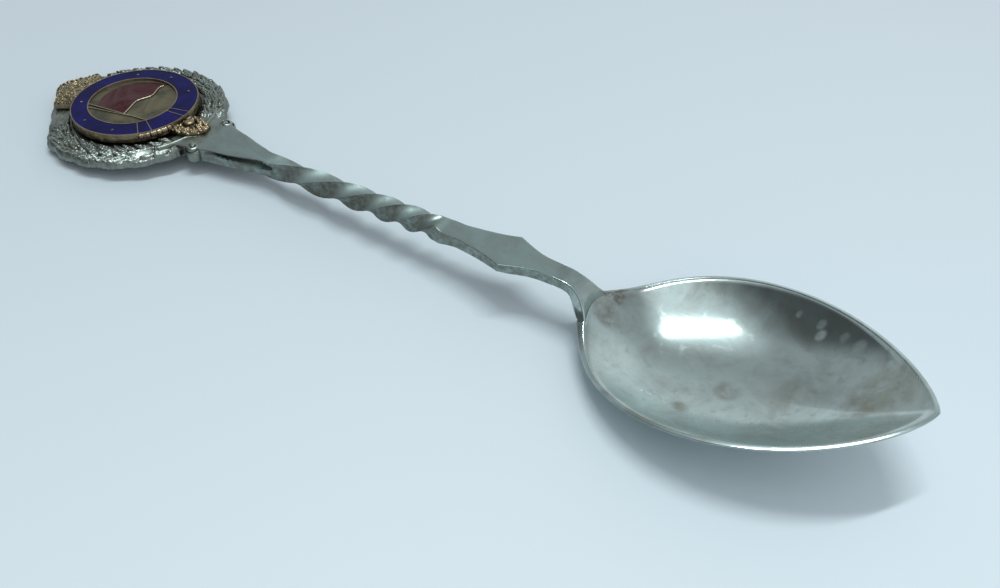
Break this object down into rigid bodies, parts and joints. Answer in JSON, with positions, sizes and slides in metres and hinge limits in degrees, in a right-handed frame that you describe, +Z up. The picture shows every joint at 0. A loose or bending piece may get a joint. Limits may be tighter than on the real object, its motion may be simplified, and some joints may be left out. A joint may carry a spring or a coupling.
{
  "type": "souvenir spoon",
  "caption": "Small silver souvenir spoon with a pointed bowl, twisted stem and round finial carrying an enamelled gilt badge.",
  "frame": {"origin": "middle of the footprint on the table, under the stem, halfway along the spoon", "axes": "+X along the spoon from finial to bowl tip, +Y to the left when looking to the tip, +Z up out of the bowl"},
  "size_m": [0.1158, 0.0262, 0.0105],
  "materials": {
    "silver": "polished silver with light tarnish",
    "gilt_brass": "worn gilt",
    "brass_pegs": "filed flush",
    "blue_enamel": "opaque cobalt vitreous enamel",
    "red_enamel": "deep red vitreous enamel, scratched",
    "olive_enamel": "clear brown enamel over gilt"
  },
  "bodies": {
    "root": {"bowl": "silver", "stem": "silver", "finial_plate": "silver", "badge_body": "gilt_brass", "badge_pegs": "brass_pegs", "blue_enamel_ring": "blue_enamel", "blue_enamel_band": "blue_enamel", "blue_enamel_cells": "blue_enamel", "red_enamel": "red_enamel", "olive_enamel": "olive_enamel", "bar_wire": "gilt_brass", "wave_wire": "gilt_brass", "crest": "gilt_brass", "clasp": "gilt_brass", "clasp_stud": "gilt_brass"}
  },
  "joints": []
}
